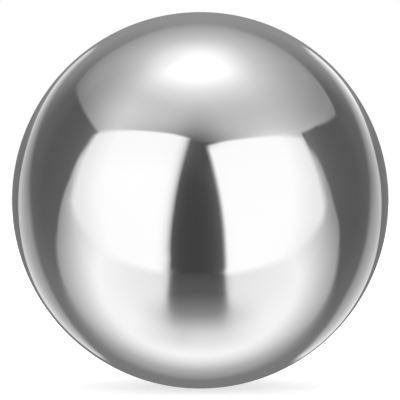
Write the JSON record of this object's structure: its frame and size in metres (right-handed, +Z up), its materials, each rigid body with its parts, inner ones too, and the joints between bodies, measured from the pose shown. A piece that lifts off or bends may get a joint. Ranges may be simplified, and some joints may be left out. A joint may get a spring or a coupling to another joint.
{
  "type": "steel ball",
  "caption": "Solid polished steel ball: a plain mirror-bright sphere that rolls, carries load, or seats in a cup, ring or race.",
  "frame": {"origin": "centre of the ball", "axes": "+Z up; every axis through the centre is an axis of symmetry, so no direction is special"},
  "size_m": [0.0254, 0.0254, 0.0254],
  "materials": {
    "polished_steel": "ground and lapped bearing steel, mirror bright all over"
  },
  "bodies": {
    "root": {"ball": "polished_steel"}
  },
  "joints": []
}
